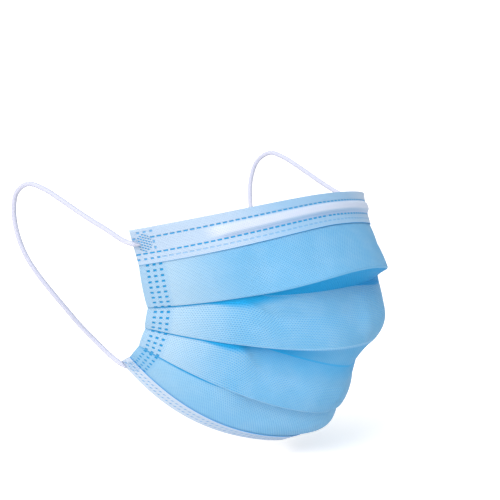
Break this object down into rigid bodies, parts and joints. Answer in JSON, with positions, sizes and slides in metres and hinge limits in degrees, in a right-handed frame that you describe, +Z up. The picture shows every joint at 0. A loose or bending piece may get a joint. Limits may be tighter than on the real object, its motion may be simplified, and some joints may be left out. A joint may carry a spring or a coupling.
{
  "type": "surgical face mask",
  "caption": "Flat-fold cloth face mask with horizontal pleats opened to its worn form, bound top and bottom edges, a covered nose wire and elastic ear loops.",
  "frame": {"origin": "middle of the top edge of the pleated body, where the mask sits on the bridge of a nose", "axes": "+X towards the wearer's left side edge, +Y into the mask from the front towards the face, +Z up"},
  "size_m": [0.1574, 0.1333, 0.1152],
  "materials": {
    "spunbond_blue": "matt non-woven with a fine bonded dot pattern",
    "binding_pale": "matt pale non-woven with blue weld dashes",
    "elastic_white": "soft knitted round elastic",
    "wire_coated": "plastic-coated soft wire"
  },
  "bodies": {
    "root": {"pleated_body": "spunbond_blue", "top_binding": "binding_pale", "bottom_binding": "binding_pale", "nose_wire": "wire_coated", "ear_loop_right": "elastic_white", "ear_loop_left": "elastic_white"}
  },
  "joints": []
}
